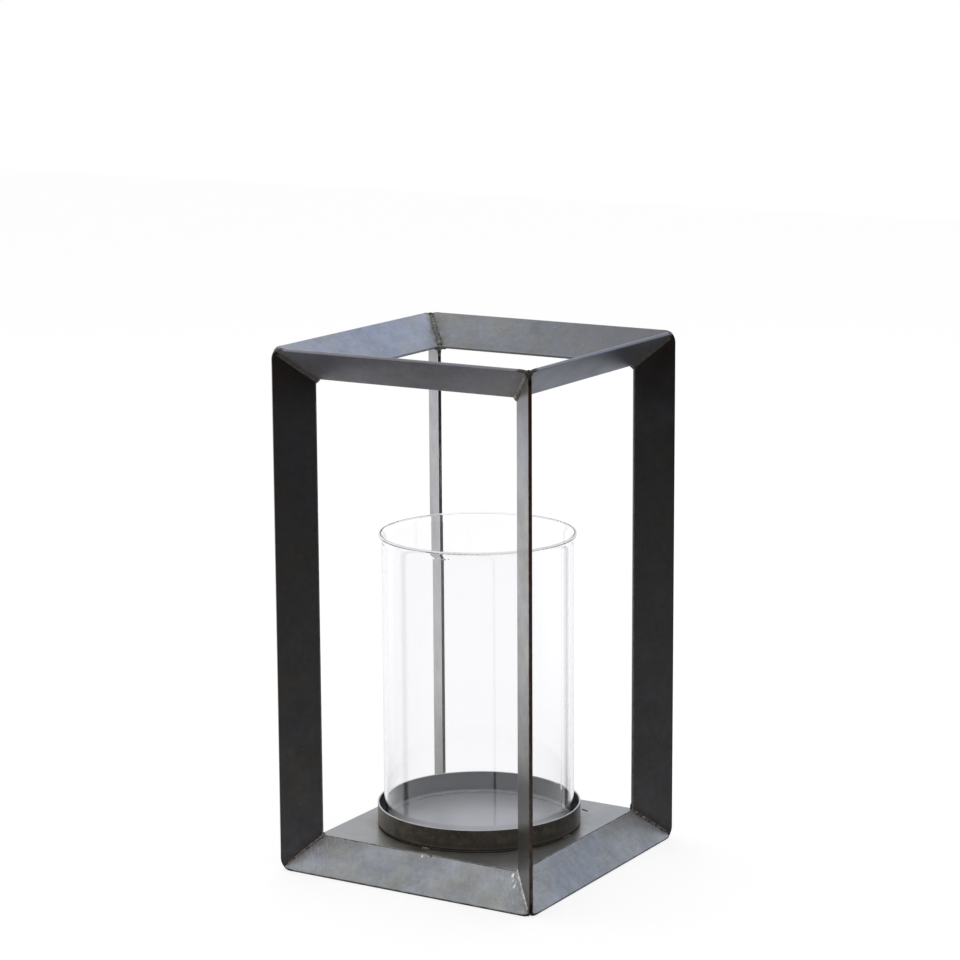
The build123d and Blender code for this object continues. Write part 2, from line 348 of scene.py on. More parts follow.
def flat_bar_steel(
    name,
    rolled_along,
    thick,
    thin,
    outer_edge,
    inner_edge,
    arris_glint,
    outer_colour_from,
    scuffs,
    heated,
    dulled,
    browned,
):
    """Hot-rolled flat bar with its mill scale on, rubbed with oil.

    The scale is a thin blue-grey oxide. It mirrors softly and darkly, changes tone in clouds
    and mottles, is darker near two of the top corners, and is browned and scratched beside the welds.
    Its edges are partly worn and partly painted light: lighter edges as highlights, darker ones, and a
    glint on the inner arris.
    """
    material, tree = new_material(name)
    flat, across, off_mitre, through, ground = bar_coordinates(tree, rolled_along)

    # Clouds of thicker and thinner scale, about 18 mm wide
    clouds = add_node(
        tree, "TexNoise", {"Vector": flat, "Scale": 1 / (18 * MM), "Detail": 5.0, "Roughness": 0.6}
    )
    thinness = add_node(tree, "MapRange", {"Value": clouds, "From Min": 0.36, "From Max": 0.66})
    scale = add_node(
        tree, "Mix", {"Factor": thinness, "A": linear(thick), "B": linear(thin)}, data_type="RGBA"
    )

    # The oil has yellowed in patches about 28 mm wide
    patches = add_node(tree, "TexNoise", {"Vector": flat, "Scale": 1 / (28 * MM), "Detail": 3.0})
    yellowed = add_node(tree, "MapRange", {"Value": patches, "From Min": 0.42, "From Max": 0.62})
    oily = add_node(tree, "VectorMath", {0: scale, 1: (1.05, 1.0, 0.9)}, operation="MULTIPLY")
    oiled = add_node(tree, "Mix", {"Factor": yellowed, "A": scale, "B": oily}, data_type="RGBA")

    # A mottle of 4 mm patches, and faint rolling lines 60 mm long and 1.5 mm wide
    mottle = add_node(
        tree, "TexNoise", {"Vector": flat, "Scale": 1 / (4 * MM), "Detail": 4.0, "Roughness": 0.65}
    )
    mottle_tone = add_node(
        tree,
        "MapRange",
        {"Value": mottle, **NOISE_RANGE, "To Min": 0.91, "To Max": 1.09},
    )
    rolled = add_node(
        tree, "VectorMath", {0: flat, 1: (1 / (60 * MM), 1 / (1.5 * MM), 1.0)}, operation="MULTIPLY"
    )
    lines = add_node(tree, "TexNoise", {"Vector": rolled, "Scale": 1.0, "Detail": 3.0})
    line_tone = add_node(
        tree,
        "MapRange",
        {"Value": lines, **NOISE_RANGE, "To Min": 0.97, "To Max": 1.03},
    )
    tone = add_node(tree, "Math", {0: mottle_tone, 1: line_tone}, operation="MULTIPLY")
    mottled = add_node(tree, "VectorMath", {0: oiled, "Scale": tone}, operation="SCALE")

    # The bars are darker near two of the top corners
    place = add_node(tree, "TexCoord").outputs["Object"]
    darkened = mottled
    for corner, thin_reach, thick_reach, strength in DARKENED_CORNERS:
        off_corner = add_node(
            tree, "VectorMath", {0: place, 1: corner}, operation="DISTANCE"
        ).outputs["Value"]
        reach = add_node(
            tree,
            "MapRange",
            {"Value": clouds, **NOISE_RANGE, "To Min": thin_reach, "To Max": thick_reach},
        )
        darkening = add_node(
            tree,
            "MapRange",
            {"Value": off_corner, "From Min": 0.0, "From Max": reach, "To Min": strength, "To Max": 0.0},
            interpolation_type="SMOOTHSTEP",
        )
        darkened = add_node(
            tree, "Mix", {"Factor": darkening, "A": darkened, "B": linear("#5E5D61")}, data_type="RGBA"
        )

    # The flame has browned the posts over their top 60 mm
    height = add_node(tree, "SeparateXYZ", {0: place}).outputs["Z"]
    flame = add_node(
        tree,
        "MapRange",
        {
            "Value": height,
            "From Min": FRAME_TOP - 60 * MM,
            "From Max": FRAME_TOP - 10 * MM,
            "To Max": browned,
        },
        interpolation_type="SMOOTHSTEP",
    )
    toasted = add_node(
        tree, "Mix", {"Factor": flame, "A": darkened, "B": linear("#574E48")}, data_type="RGBA"
    )

    # Heat tint: a ragged brown band, 2 to 13 mm wide, beside each mitre
    ragged = add_node(tree, "TexNoise", {"Vector": flat, "Scale": 1 / (6 * MM), "Detail": 4.0})
    band = add_node(
        tree,
        "MapRange",
        {"Value": ragged, "From Min": 0.3, "From Max": 0.75, "To Min": 2 * MM, "To Max": 13 * MM},
    )
    heat = add_node(
        tree,
        "MapRange",
        {"Value": off_mitre, "From Min": 1 * MM, "From Max": band, "To Min": heated, "To Max": 0.0},
        interpolation_type="SMOOTHSTEP",
    )
    tinted = add_node(
        tree, "Mix", {"Factor": heat, "A": toasted, "B": linear("#675A50")}, data_type="RGBA"
    )

    # Edges in patches: worn bare or rusty, and partly painted light, some lighter as painted highlights,
    # some darker, with a painted glint along the inner arris
    wear_and_edge_light = add_node(
        tree,
        "MapRange",
        {"Value": ragged, "From Min": 0.35, "From Max": 0.6, "To Min": 0.25, "To Max": 0.85},
    )
    at_outer = add_node(
        tree,
        "MapRange",
        {"Value": across, "From Min": 0.9 * MM, "From Max": 0.3 * MM, "To Min": 0.0, "To Max": wear_and_edge_light},
    )
    outer_colour_side = add_node(
        tree,
        "MapRange",
        {"Value": through, "From Min": outer_colour_from, "From Max": outer_colour_from + 0.4 * MM},
    )
    outer = add_node(tree, "Math", {0: at_outer, 1: outer_colour_side}, operation="MULTIPLY")
    outer_edge_coloured = add_node(
        tree, "Mix", {"Factor": outer, "A": tinted, "B": linear(outer_edge)}, data_type="RGBA"
    )
    inner = add_node(
        tree,
        "MapRange",
        {
            "Value": across,
            "From Min": BAR_WIDTH - 0.25 * MM,
            "From Max": BAR_WIDTH - 0.1 * MM,
            "To Min": 0.0,
            "To Max": wear_and_edge_light,
        },
    )
    inner_edge_coloured = add_node(
        tree, "Mix", {"Factor": inner, "A": outer_edge_coloured, "B": linear(inner_edge)}, data_type="RGBA"
    )
    off_arris = add_node(tree, "Math", {0: across, 1: BAR_WIDTH - 0.55 * MM}, operation="SUBTRACT")
    near_arris = add_node(tree, "Math", {0: off_arris}, operation="ABSOLUTE")
    glint = add_node(
        tree,
        "MapRange",
        {
            "Value": near_arris,
            "From Min": 0.45 * MM,
            "From Max": 0.2 * MM,
            "To Min": 0.0,
            "To Max": wear_and_edge_light,
        },
    )
    glinting = add_node(
        tree, "Mix", {"Factor": glint, "A": inner_edge_coloured, "B": linear(arris_glint)}, data_type="RGBA"
    )
    scorch = add_node(tree, "Math", {0: ground, 1: SCORCH_SHARE}, operation="MULTIPLY")
    edged = add_node(
        tree, "Mix", {"Factor": scorch, "A": glinting, "B": linear(SCORCH)}, data_type="RGBA"
    )

    # Scuffs from dressing the welds, 6 mm long and most beside them; real ones are finer than
    # the 0.5 mm drawn here
    turned = add_node(
        tree, "VectorRotate", {"Vector": flat, "Angle": radians(66)}, rotation_type="Z_AXIS"
    )
    stretched = add_node(
        tree, "VectorMath", {0: turned, 1: (1 / (6 * MM), 1 / (0.5 * MM), 1.0)}, operation="MULTIPLY"
    )
    hairs = add_node(
        tree, "TexNoise", {"Vector": stretched, "Scale": 1.0, "Detail": 2.0, "Distortion": 1.2}
    )
    scratch = add_node(tree, "MapRange", {"Value": hairs, "From Min": 0.56, "From Max": 0.72})
    dressed = add_node(
        tree,
        "MapRange",
        {
            "Value": off_mitre,
            "From Min": 4 * MM,
            "From Max": 30 * MM,
            "To Min": scuffs,
            "To Max": scuffs * 0.2,
        },
    )
    scratch_share = add_node(tree, "Math", {0: scratch, 1: dressed}, operation="MULTIPLY")
    scratched = add_node(
        tree, "Mix", {"Factor": scratch_share, "A": edged, "B": linear("#BCBEC0")}, data_type="RGBA"
    )

    # Pits and bare specks under 1 mm across
    grains = add_node(
        tree, "TexNoise", {"Vector": flat, "Scale": 1 / (1.6 * MM), "Detail": 2.0, "Roughness": 0.7}
    )
    pit = add_node(
        tree, "MapRange", {"Value": grains, "From Min": 0.67, "From Max": 0.76, "To Max": 0.8}
    )
    pitted = add_node(
        tree, "Mix", {"Factor": pit, "A": scratched, "B": linear("#4E4E4E")}, data_type="RGBA"
    )
    speck = add_node(
        tree, "MapRange", {"Value": grains, "From Min": 0.31, "From Max": 0.24, "To Max": 0.6}
    )
    specked = add_node(
        tree, "Mix", {"Factor": speck, "A": pitted, "B": linear("#C8CACC")}, data_type="RGBA"
    )

    sheen = add_node(
        tree,
        "MapRange",
        {"Value": clouds, **NOISE_RANGE, "To Min": 0.36, "To Max": 0.285},
    )
    metallic = add_node(
        tree,
        "MapRange",
        {
            "Value": off_mitre,
            "From Min": 0.0,
            "From Max": 80 * MM,
            "To Min": 1.0 - dulled,
            "To Max": 1.0 - dulled / 4,
        },
        interpolation_type="SMOOTHSTEP",
    )
    waves = add_node(tree, "TexNoise", {"Vector": flat, "Scale": 1 / (7 * MM), "Detail": 3.0})
    relief = add_node(tree, "Math", {0: grains, 1: -0.12, 2: waves}, operation="MULTIPLY_ADD")
    bump = add_node(tree, "Bump", {"Height": relief, "Strength": 0.5, "Distance": 0.05 * MM})
    shader = add_node(
        tree,
        "BsdfPrincipled",
        {"Base Color": specked, "Metallic": metallic, "Roughness": sheen, "Normal": bump},
    )
    add_node(tree, "OutputMaterial", {"Surface": shader})
    return material


def weld_steel(name, dark, light, metallic, flecks):
    """Weld metal left as it cooled: browned by heat, rough, and bright only on its crests."""
    material, tree = new_material(name)
    place = add_node(tree, "TexCoord").outputs["Object"]
    lumps = add_node(tree, "TexNoise", {"Vector": place, "Scale": 1 / (3 * MM), "Detail": 4.0})
    tint = add_node(tree, "MapRange", {"Value": lumps, "From Min": 0.38, "From Max": 0.64})
    colour = add_node(
        tree, "Mix", {"Factor": tint, "A": linear(dark), "B": linear(light)}, data_type="RGBA"
    )
    rough = add_node(
        tree,
        "MapRange",
        {"Value": lumps, **NOISE_RANGE, "To Min": 0.5, "To Max": 0.32},
    )
    grit = add_node(tree, "TexNoise", {"Vector": place, "Scale": 1 / (0.9 * MM), "Detail": 2.0})
    fleck = add_node(
        tree, "MapRange", {"Value": grit, "From Min": 0.6, "From Max": 0.7, "To Max": flecks}
    )
    flecked = add_node(
        tree, "Mix", {"Factor": fleck, "A": colour, "B": linear("#C9C6C2")}, data_type="RGBA"
    )

    # The end of a bead that was ground away with the corner is scorched, for about 6 mm
    centred = add_node(tree, "VectorMath", {0: place, 1: (0, 0, MID_HEIGHT)}, operation="SUBTRACT")
    folded = add_node(tree, "VectorMath", {0: centred}, operation="ABSOLUTE")
    off_tip = add_node(
        tree, "VectorMath", {0: folded, 1: HALF_BOX}, operation="DISTANCE"
    ).outputs["Value"]
    ground = add_node(
        tree,
        "MapRange",
        {"Value": off_tip, "From Min": 7 * MM, "From Max": 5 * MM, "To Max": SCORCH_SHARE},
    )
    scorched = add_node(
        tree, "Mix", {"Factor": ground, "A": flecked, "B": linear(SCORCH)}, data_type="RGBA"
    )
    bump = add_node(tree, "Bump", {"Height": grit, "Strength": 0.4, "Distance": 0.06 * MM})
    shader = add_node(
        tree,
        "BsdfPrincipled",
        {"Base Color": scorched, "Metallic": metallic, "Roughness": rough, "Normal": bump},
    )
    add_node(tree, "OutputMaterial", {"Surface": shader})
    return material


# Sheet steel and glass


def base_sheet_steel():
    """Rolled sheet under the pan: smoother than the bar, with oil and painted shade round the pan's
    foot, and a painted contact shadow under it.
    """
    material, tree = new_material("oiled_rolled_sheet_steel")
    place = add_node(tree, "TexCoord").outputs["Object"]
    clouds = add_node(tree, "TexNoise", {"Vector": place, "Scale": 1 / (25 * MM), "Detail": 4.0})
    tone = add_node(tree, "MapRange", {"Value": clouds, "From Min": 0.35, "From Max": 0.65})
    sheet = add_node(
        tree, "Mix", {"Factor": tone, "A": linear("#8B8B89"), "B": linear("#959492")}, data_type="RGBA"
    )

    # A film of oil and dirt that reaches 4 to 12 mm out from the pan, which also paints in shade and
    # the pan's dark reflection on the plate
    axes = add_node(tree, "SeparateXYZ", {0: place}).outputs
    level = add_node(tree, "CombineXYZ", {"X": axes["X"], "Y": axes["Y"]})
    radius = add_node(tree, "VectorMath", {0: level}, operation="LENGTH").outputs["Value"]
    smears = add_node(tree, "TexNoise", {"Vector": place, "Scale": 1 / (9 * MM), "Detail": 3.0})
    film_and_shade_reach = add_node(
        tree,
        "MapRange",
        {
            "Value": smears,
            **NOISE_RANGE,
            "To Min": PAN_RADIUS + 4 * MM,
            "To Max": PAN_RADIUS + 12 * MM,
        },
    )
    film = add_node(
        tree,
        "MapRange",
        {
            "Value": radius,
            "From Min": PAN_RADIUS - PAN_BEND,
            "From Max": film_and_shade_reach,
            "To Min": 0.9,
            "To Max": 0.0,
        },
    )
    filmed_and_shaded = add_node(
        tree, "Mix", {"Factor": film, "A": sheet, "B": linear("#7E7056")}, data_type="RGBA"
    )

    # Painted contact shadow in the groove under the pan's bend, 1 to 3 mm out from its foot
    contact_shadow_reach = add_node(
        tree,
        "MapRange",
        {
            "Value": smears,
            **NOISE_RANGE,
            "To Min": PAN_RADIUS + 0.6 * MM,
            "To Max": PAN_RADIUS + 2.6 * MM,
        },
    )
    painted_contact_shadow = add_node(
        tree,
        "MapRange",
        {
            "Value": radius,
            "From Min": PAN_RADIUS - 1.5 * MM,
            "From Max": contact_shadow_reach,
            "To Min": 0.95,
            "To Max": 0.0,
        },
        interpolation_type="SMOOTHSTEP",
    )
    contact_shadowed = add_node(
        tree, "Mix", {"Factor": painted_contact_shadow, "A": filmed_and_shaded, "B": linear("#1C1814")}, data_type="RGBA"
    )

    # The brown stain of the tack weld in front of the pan, about 18 mm by 8 mm
    off_stain = add_node(tree, "VectorMath", {0: place, 1: FRONT_STAIN}, operation="SUBTRACT")
    stain_size = (1 / (9 * MM), 1 / (4 * MM), 0.0)
    stain_place = add_node(tree, "VectorMath", {0: off_stain, 1: stain_size}, operation="MULTIPLY")
    stain_radius = add_node(tree, "VectorMath", {0: stain_place}, operation="LENGTH").outputs["Value"]
    ragged = add_node(tree, "Math", {0: smears, 1: 0.9, 2: stain_radius}, operation="MULTIPLY_ADD")
    stain = add_node(
        tree,
        "MapRange",
        {"Value": ragged, "From Min": 0.7, "From Max": 1.5, "To Min": 0.75, "To Max": 0.0},
    )
    stained = add_node(
        tree, "Mix", {"Factor": stain, "A": contact_shadowed, "B": linear("#5E4B3C")}, data_type="RGBA"
    )

    # The sheared edge is bare in dashes about 3 mm long, and the light dashes are also a painted
    # highlight along the edge
    folded = add_node(tree, "VectorMath", {0: level}, operation="ABSOLUTE")
    out = add_node(tree, "SeparateXYZ", {0: folded}).outputs
    outermost = add_node(tree, "Math", {0: out["X"], 1: out["Y"]}, operation="MAXIMUM")
    at_edge = add_node(
        tree,
        "MapRange",
        {"Value": outermost, "From Min": PLATE_HALF - 0.25 * MM, "From Max": PLATE_HALF - 0.05 * MM},
    )
    breaks = add_node(tree, "TexNoise", {"Vector": place, "Scale": 1 / (3 * MM), "Detail": 3.0})
    dash = add_node(
        tree, "MapRange", {"Value": breaks, "From Min": 0.42, "From Max": 0.62, "To Max": 0.8}
    )
    bare_edge_and_highlight = add_node(tree, "Math", {0: at_edge, 1: dash}, operation="MULTIPLY")
    edged = add_node(
        tree, "Mix", {"Factor": bare_edge_and_highlight, "A": stained, "B": linear("#ABAAA7")}, data_type="RGBA"
    )
    metallic = add_node(tree, "MapRange", {"Value": bare_edge_and_highlight, "To Min": 0.74, "To Max": 0.4})

    # Fine rolling lines, 50 mm long and 0.8 mm wide
    rolled = add_node(
        tree, "VectorMath", {0: place, 1: (1 / (50 * MM), 1 / (0.8 * MM), 1.0)}, operation="MULTIPLY"
    )
    lines = add_node(tree, "TexNoise", {"Vector": rolled, "Scale": 1.0, "Detail": 2.0})
    rough = add_node(
        tree,
        "MapRange",
        {"Value": lines, **NOISE_RANGE, "To Min": 0.285, "To Max": 0.33},
    )
    bump = add_node(tree, "Bump", {"Height": lines, "Strength": 0.3, "Distance": 0.02 * MM})
    shader = add_node(
        tree,
        "BsdfPrincipled",
        {"Base Color": edged, "Metallic": metallic, "Roughness": rough, "Normal": bump},
    )
    add_node(tree, "OutputMaterial", {"Surface": shader})
    return material


def pan_steel():
    """Pressed sheet: drawn metal inside with painted light on its floor, and a brown oil film baked on
    outside with painted shade and a painted contact shadow at the foot.
    """
    material, tree = new_material("oiled_pressed_steel")
    place = add_node(tree, "TexCoord").outputs["Object"]
    axes = add_node(tree, "SeparateXYZ", {0: place}).outputs
    level = add_node(tree, "CombineXYZ", {"X": axes["X"], "Y": axes["Y"]})
    radius = add_node(tree, "VectorMath", {0: level}, operation="LENGTH").outputs["Value"]
    clouds = add_node(tree, "TexNoise", {"Vector": place, "Scale": 1 / (14 * MM), "Detail": 4.0})
    tone = add_node(tree, "MapRange", {"Value": clouds, "From Min": 0.35, "From Max": 0.65})

    # The floor is painted light, where it faces up, and the drawn wall darker: partly the drawn finish,
    # partly painted light and shade on one sheet
    floor = add_node(
        tree, "Mix", {"Factor": tone, "A": linear("#ABADB1"), "B": linear("#B1B3B7")}, data_type="RGBA"
    )
    wall = add_node(
        tree, "Mix", {"Factor": tone, "A": linear("#5E6067"), "B": linear("#64666C")}, data_type="RGBA"
    )
    floor_top = PAN_LOW.z + PAN_SHEET
    drawn = add_node(
        tree,
        "MapRange",
        {"Value": axes["Z"], "From Min": floor_top + 0.3 * MM, "From Max": floor_top + PAN_BEND},
    )
    inside = add_node(tree, "Mix", {"Factor": drawn, "A": floor, "B": wall}, data_type="RGBA")
    metallic = add_node(tree, "MapRange", {"Value": drawn, "To Min": 0.12, "To Max": 0.92})

    # The film outside is thicker towards the foot, and in spots about 7 mm across
    spots = add_node(tree, "TexNoise", {"Vector": place, "Scale": 1 / (7 * MM), "Detail": 3.0})
    spot = add_node(
        tree, "MapRange", {"Value": spots, "From Min": 0.5, "From Max": 0.7, "To Max": 0.6}
    )
    film = add_node(
        tree, "Mix", {"Factor": tone, "A": linear("#5E5950"), "B": linear("#69645C")}, data_type="RGBA"
    )
    spotted = add_node(
        tree, "Mix", {"Factor": spot, "A": film, "B": linear("#7C7566")}, data_type="RGBA"
    )

    # Dust stuck in the film, in specks under 1 mm across
    grit = add_node(tree, "TexNoise", {"Vector": place, "Scale": 1 / (1.5 * MM), "Detail": 2.0})
    speck = add_node(
        tree, "MapRange", {"Value": grit, "From Min": 0.64, "From Max": 0.72, "To Max": 0.55}
    )
    dusty = add_node(
        tree, "Mix", {"Factor": speck, "A": spotted, "B": linear("#A8A294")}, data_type="RGBA"
    )

    # Painted shade: the film is darker and browner over the lowest 8 mm, and a painted contact shadow
    # blackens the groove under the bend
    foot = add_node(
        tree,
        "MapRange",
        {
            "Value": axes["Z"],
            "From Min": PAN_LOW.z + 8 * MM,
            "From Max": PAN_LOW.z + 1 * MM,
            "To Max": 0.6,
        },
    )
    low_wall_shade = add_node(
        tree, "Mix", {"Factor": foot, "A": dusty, "B": linear("#3F3932")}, data_type="RGBA"
    )
    groove = add_node(
        tree,
        "MapRange",
        {
            "Value": axes["Z"],
            "From Min": PAN_LOW.z + 3.2 * MM,
            "From Max": PAN_LOW.z + 1.2 * MM,
            "To Max": 0.95,
        },
        interpolation_type="SMOOTHSTEP",
    )
    contact_shadowed = add_node(
        tree, "Mix", {"Factor": groove, "A": low_wall_shade, "B": linear("#120F0C")}, data_type="RGBA"
    )
    inner_skin = PAN_RADIUS - PAN_SHEET * 0.8
    outer_skin = PAN_RADIUS - PAN_SHEET * 0.3
    outside = add_node(
        tree, "MapRange", {"Value": radius, "From Min": inner_skin, "From Max": outer_skin}
    )
    colour = add_node(tree, "Mix", {"Factor": outside, "A": inside, "B": contact_shadowed}, data_type="RGBA")

    # The sheared rim is bare, and its light line is also a painted highlight
    bare_edge_and_highlight = add_node(
        tree,
        "MapRange",
        {"Value": axes["Z"], "From Min": PAN_HIGH.z - 0.45 * MM, "From Max": PAN_HIGH.z - 0.2 * MM},
    )
    rimmed = add_node(
        tree, "Mix", {"Factor": bare_edge_and_highlight, "A": colour, "B": linear("#B9B7B1")}, data_type="RGBA"
    )
    rough = add_node(
        tree,
        "MapRange",
        {"Value": clouds, **NOISE_RANGE, "To Min": 0.285, "To Max": 0.33},
    )
    bump = add_node(tree, "Bump", {"Height": spots, "Strength": 0.05, "Distance": 0.03 * MM})
    shader = add_node(
        tree,
        "BsdfPrincipled",
        {"Base Color": rimmed, "Metallic": metallic, "Roughness": rough, "Normal": bump},
    )
    add_node(tree, "OutputMaterial", {"Surface": shader})
    return material


def clear_glass():
    """Clear drawn tube: smooth, faintly cool, with slow waves left by the drawing."""
    material, tree = new_material("clear_drawn_glass")
    place = add_node(tree, "TexCoord").outputs["Object"]
    wave_size = (1 / (40 * MM), 1 / (40 * MM), 1 / (200 * MM))
    drawn = add_node(tree, "VectorMath", {0: place, 1: wave_size}, operation="MULTIPLY")
    waves = add_node(tree, "TexNoise", {"Vector": drawn, "Scale": 1.0, "Detail": 0.0})
    bump = add_node(tree, "Bump", {"Height": waves, "Strength": 0.02, "Distance": 0.05 * MM})
    shader = add_node(
        tree,
        "BsdfPrincipled",
        {
            "Base Color": linear("#FEFEFF"),
            "Transmission Weight": 1.0,
            "Roughness": 0.0,
            "IOR": 1.5,
            "Normal": bump,
        },
    )
    add_node(tree, "OutputMaterial", {"Surface": shader})
    return material


def milky_highlight_glass_material():
    """The cut edges, ground and half melted again, in milky glass: partly their own haze, partly a
    painted highlight for the light the edges catch and carry.
    """
    material, tree = new_material("frosted_edge_glass_painted_highlight")
    place = add_node(tree, "TexCoord").outputs["Object"]
    haze = add_node(tree, "TexNoise", {"Vector": place, "Scale": 1 / (6 * MM), "Detail": 2.0})
    bump = add_node(tree, "Bump", {"Height": haze, "Strength": 0.1, "Distance": 0.05 * MM})
    shader = add_node(
        tree,
        "BsdfPrincipled",
        {
            "Base Color": linear("#FEFEFF"),
            "Transmission Weight": 0.25,
            "Roughness": 0.5,
            "IOR": 1.5,
            "Normal": bump,
        },
    )
    add_node(tree, "OutputMaterial", {"Surface": shader})
    return material


# Welds


def add_piece(name, bm, material, body):
    """Make a finished bmesh a piece of a body."""
    for face in bm.faces:
        face.smooth = True
    mesh = bpy.data.meshes.new(name)
    bm.to_mesh(mesh)
    bm.free()
    mesh.materials.append(material)
    piece = bpy.data.objects.new(name, mesh)
    bpy.context.scene.collection.objects.link(piece)
    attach(piece, body)
    return piece


def melt_together(piece, smoothing):
    """Run the overlapping lumps of a weld into one skin."""
    skin = piece.modifiers.new("one_skin", "REMESH")
    skin.mode = "VOXEL"
    skin.voxel_size = WELD_VOXEL
    skin.use_smooth_shade = True
    flow = piece.modifiers.new("flow", "SMOOTH")
    flow.factor = 0.5
    flow.iterations = smoothing


def roughen(verts, seed, amount):
    """Push the points of a weld in and out a little, in lumps."""
    for vert in verts:
        lump = noise.noise_vector(vert.co / WELD_LUMP_SIZE + Vector((seed * 7.3, seed * 3.1, seed)))
        vert.co += lump * amount


def add_bead(bm, tip, inward, swell):
    """A rippled bead along a mitre, round at its ground end, wider towards the inside."""
    start = CORNER_GRIND * sqrt(1.5) - (CORNER_GRIND - BEAD_GRIND)
    end = BAR_REACH * sqrt(3)
    profile = []
    for station in range(BEAD_STATIONS + 1):
        share = station / BEAD_STATIONS
        along = start + (end - start) * share
        ripple = BEAD_RIPPLE * cos(2 * pi * along / BEAD_RIPPLE_PITCH) * min(1.0, 3 * share)
        radius = BEAD_OUTER_RADIUS + (BEAD_INNER_RADIUS - BEAD_OUTER_RADIUS) * share + ripple
        profile.append(bm.verts.new((radius * swell, 0, along)))
    profile.insert(0, bm.verts.new((0, 0, start)))
    profile.append(bm.verts.new((0, 0, end)))
    edges = [bm.edges.new(pair) for pair in zip(profile, profile[1:])]
    bmesh.ops.spin(
        bm,
        geom=profile + edges,
        cent=(0, 0, 0),
        axis=(0, 0, 1),
        angle=2 * pi,
        steps=BEAD_STEPS,
        use_merge=True,
    )
    bmesh.ops.remove_doubles(bm, verts=bm.verts, dist=0.001 * MM)
    bmesh.ops.recalc_face_normals(bm, faces=bm.faces)
    turn = Vector((0, 0, 1)).rotation_difference(inward).to_matrix().to_4x4()
    bmesh.ops.transform(bm, matrix=Matrix.Translation(tip) @ turn, verts=bm.verts)


def add_pool(bm, centre, arms, radius, run):
    """The pool at the inner end of a mitre, drawn out a little along the three bars' edges."""
    pool = bmesh.ops.create_icosphere(bm, subdivisions=4, radius=1.0)["verts"]
    for vert in pool:
        out = vert.co.normalized()
        reach = radius + run * sum(max(0.0, out.dot(arm)) ** POOL_ARM_SHARPNESS for arm in arms)
        vert.co = centre + out * reach


def corner_weld(level, corner, material, seed, swell, pool, run, lump, smoothing):
    """The weld of three bars: dressed smooth, filed, or left rough as it was run."""
    x, y = CORNERS[corner]
    rise = LEVELS[level]
    tip = Vector((x * HALF_FRAME, y * HALF_FRAME, FRAME_BOTTOM if rise > 0 else FRAME_TOP))
    arms = [Vector((-x, 0, 0)), Vector((0, -y, 0)), Vector((0, 0, rise))]
    inward = sum(arms, Vector())
    bm = bmesh.new()
    add_bead(bm, tip, inward.normalized(), swell)
    add_pool(bm, tip + inward * BAR_REACH, arms, pool, run)
    roughen(bm.verts, seed, lump)
    piece = add_piece(f"weld_{level}_{corner}", bm, material, "frame")
    melt_together(piece, smoothing)
    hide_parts(f"corner_weld_{level}_{corner}")


def pan_tacks(material):
    """Four small lumps in the groove round the pan's foot, one towards each rail."""
    bm = bmesh.new()
    foot = PAN_RADIUS - PAN_BEND * 0.2
    for number in range(TACK_COUNT):
        lump = bmesh.ops.create_icosphere(bm, subdivisions=4, radius=1.0)["verts"]
        bmesh.ops.scale(bm, vec=TACK_SIZE / 2, verts=lump)
        bmesh.ops.translate(bm, vec=(0, -foot, PLATE_TOP + TACK_RISE), verts=lump)
        turn = Matrix.Rotation(number * 2 * pi / TACK_COUNT, 4, "Z")
        bmesh.ops.transform(bm, matrix=turn, verts=lump)
    roughen(bm.verts, seed=20, amount=ROUGH_LUMP)
    piece = add_piece("pan_tacks", bm, material, "frame")
    melt_together(piece, smoothing=3)
    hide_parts("pan_tack_welds")


def rail_spatter(name, drops, material, seed):
    """Drops of weld metal that froze on the upper face of the bottom front rail."""
    slope = Vector((0, 1, 1)).normalized()
    out = Vector((0, -1, 1)).normalized()
    lie = Matrix((slope, (-1, 0, 0), out)).transposed().to_4x4()
    bm = bmesh.new()
    for along, across, length in drops:
        place = Vector((along * MM, -HALF_FRAME, FRAME_BOTTOM)) + slope * across * MM
        place += out * BAR_THICKNESS / 2
        drop = bmesh.ops.create_icosphere(bm, subdivisions=3, radius=length * MM / 2)["verts"]
        bmesh.ops.scale(bm, vec=DROP_SHAPE, verts=drop)
        bmesh.ops.transform(bm, matrix=Matrix.Translation(place) @ lie, verts=drop)
    roughen(bm.verts, seed, ROUGH_LUMP)
    add_piece(name, bm, material, "frame")


def wire_stub(material):
    """A snipped end of welding wire, stuck to the plate behind the pan."""
    start, end = WIRE_STUB
    middle = (start + end) / 2 + Vector((0, 0, PLATE_TOP + WIRE_RADIUS))
    bm = bmesh.new()
    bmesh.ops.create_cone(
        bm,
        cap_ends=True,
        segments=16,
        radius1=WIRE_RADIUS,
        radius2=WIRE_RADIUS * 0.8,
        depth=(end - start).length,
    )
    turn = Vector((0, 0, 1)).rotation_difference(end - start).to_matrix().to_4x4()
    bmesh.ops.transform(bm, matrix=Matrix.Translation(middle) @ turn, verts=bm.verts)
    add_piece("wire_stub", bm, material, "frame")


def add_glass_band(name, bm, material):
    """Spin a profile into a thin milky band round the glass."""
    bmesh.ops.spin(
        bm,
        geom=bm.verts[:] + bm.edges[:],
        cent=(0, 0, 0),
        axis=(0, 0, 1),
        angle=2 * pi,
        steps=GLASS_BAND_STEPS,
        use_merge=True,
    )
    bmesh.ops.remove_doubles(bm, verts=bm.verts, dist=0.001 * MM)
    bmesh.ops.recalc_face_normals(bm, faces=bm.faces)
    piece = add_piece(name, bm, material, "glass")
    depth = piece.modifiers.new("depth", "SOLIDIFY")
    depth.thickness = GLASS_BAND_DEPTH


